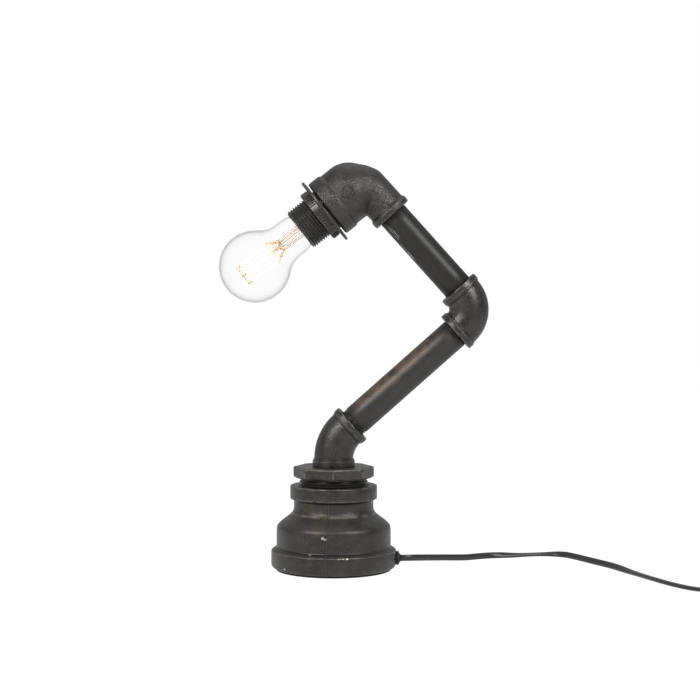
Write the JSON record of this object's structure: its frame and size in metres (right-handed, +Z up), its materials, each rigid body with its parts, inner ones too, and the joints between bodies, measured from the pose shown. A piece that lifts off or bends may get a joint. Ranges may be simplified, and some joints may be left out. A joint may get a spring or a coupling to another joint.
{
  "type": "industrial pipe table lamp",
  "caption": "Table lamp made of blackened threaded pipe, elbows and a reducer foot, with a bare clear filament bulb on a swivelling pipe arm.",
  "frame": {"origin": "centre of the foot on the table, on the axis of the foot, bushing and lower swivel", "axes": "+Z up, +X the way the lower pipe leans, +Y away from the picture's camera; the pipe runs lie in Y = 0"},
  "size_m": [0.5473, 0.2195, 0.357],
  "materials": {
    "iron": "blackened malleable iron, satin, with a fine cast grain",
    "pipe_iron": "blackened drawn pipe, satin and smoother than the castings",
    "black_plastic": "black phenolic plastic with a low sheen",
    "cord_pvc": "black flexible PVC, satin",
    "pad": "black rubber sheet",
    "glass": "clear glass",
    "nickel": "nickel-plated, bright",
    "brass": "bare brass",
    "insulator": "white steatite, glazed",
    "cap_glass": "black vitrite, glossy",
    "filament": "yellow phosphor-coated filament",
    "wire": "coppery support wire",
    "rocker_red": "red moulded plastic",
    "tie_white": "natural nylon"
  },
  "bodies": {
    "base": {"base_pad": "pad", "base_reducer": "iron", "base_bushing": "iron", "close_nipple": "pipe_iron", "cord_grommet": "black_plastic", "cable_tie": "tie_white", "cable_in_base": "cord_pvc", "cord_run": "cord_pvc", "cord_coil": "cord_pvc", "cord_tail": "cord_pvc", "coil_tie": "cord_pvc", "switch_base": "black_plastic", "switch_cover": "black_plastic", "switch_contacts": "brass", "switch_screws": "nickel", "plug_body": "black_plastic", "plug_pins": "nickel"},
    "lower_elbow": {"elbow_45": "iron", "cable_in_elbow": "cord_pvc"},
    "arm": {"lower_pipe": "pipe_iron", "elbow_90": "iron", "upper_pipe": "pipe_iron", "cable_in_arm": "cord_pvc"},
    "head": {"reducing_elbow": "iron", "cable_in_head": "cord_pvc", "holder_cap": "black_plastic", "holder_sleeve": "black_plastic", "holder_insulator": "insulator", "screw_shell": "brass", "centre_contact": "brass", "side_contact": "brass", "terminal_screws": "nickel"},
    "shade_ring": {"shade_ring": "black_plastic"},
    "bulb_tip": {"cap_contact": "nickel"},
    "bulb": {"bulb_cap": "nickel", "cap_insulator": "cap_glass", "bulb_glass": "glass", "bulb_stem": "glass", "filament_wires": "wire", "filaments": "filament"},
    "rocker": {"switch_rocker": "rocker_red"}
  },
  "joints": [
    {"name": "foot_swivel", "type": "hinge", "parent": "base", "child": "lower_elbow", "pos_m": [0, 0, 0.1134], "axis": [0, 0, 1], "range_deg": [-170, 170]},
    {"name": "lower_pipe_turn", "type": "hinge", "parent": "lower_elbow", "child": "arm", "pos_m": [0, 0, 0.1134], "axis": [0.7478, 0, 0.6639], "range_deg": [-90, 90]},
    {"name": "head_turn", "type": "hinge", "parent": "arm", "child": "head", "pos_m": [0.02528, 0, 0.34057], "axis": [-0.6691, 0, 0.7431], "range_deg": [-120, 120]},
    {"name": "shade_ring_travel", "type": "slide", "parent": "head", "child": "shade_ring", "axis": [-0.7837, 0, -0.6211], "range_m": [0, 0.012]},
    {"name": "bulb_travel", "type": "slide", "parent": "head", "child": "bulb_tip", "axis": [-0.7837, 0, -0.6211], "range_m": [0, 0.024]},
    {"name": "bulb_turn", "type": "hinge", "parent": "bulb_tip", "child": "bulb", "pos_m": [-0.00568, 0, 0.31604], "axis": [-0.7837, 0, -0.6211], "range_deg": [0, 2385]},
    {"name": "switch_rocking", "type": "hinge", "parent": "base", "child": "rocker", "pos_m": [0.368, -0.132, 0.0166], "axis": [0, 1, 0], "range_deg": [-12, 12]}
  ],
  "couplings": [
    {"joint": "bulb_travel", "follows": "bulb_turn", "m_per_rad": 0.00057614}
  ]
}
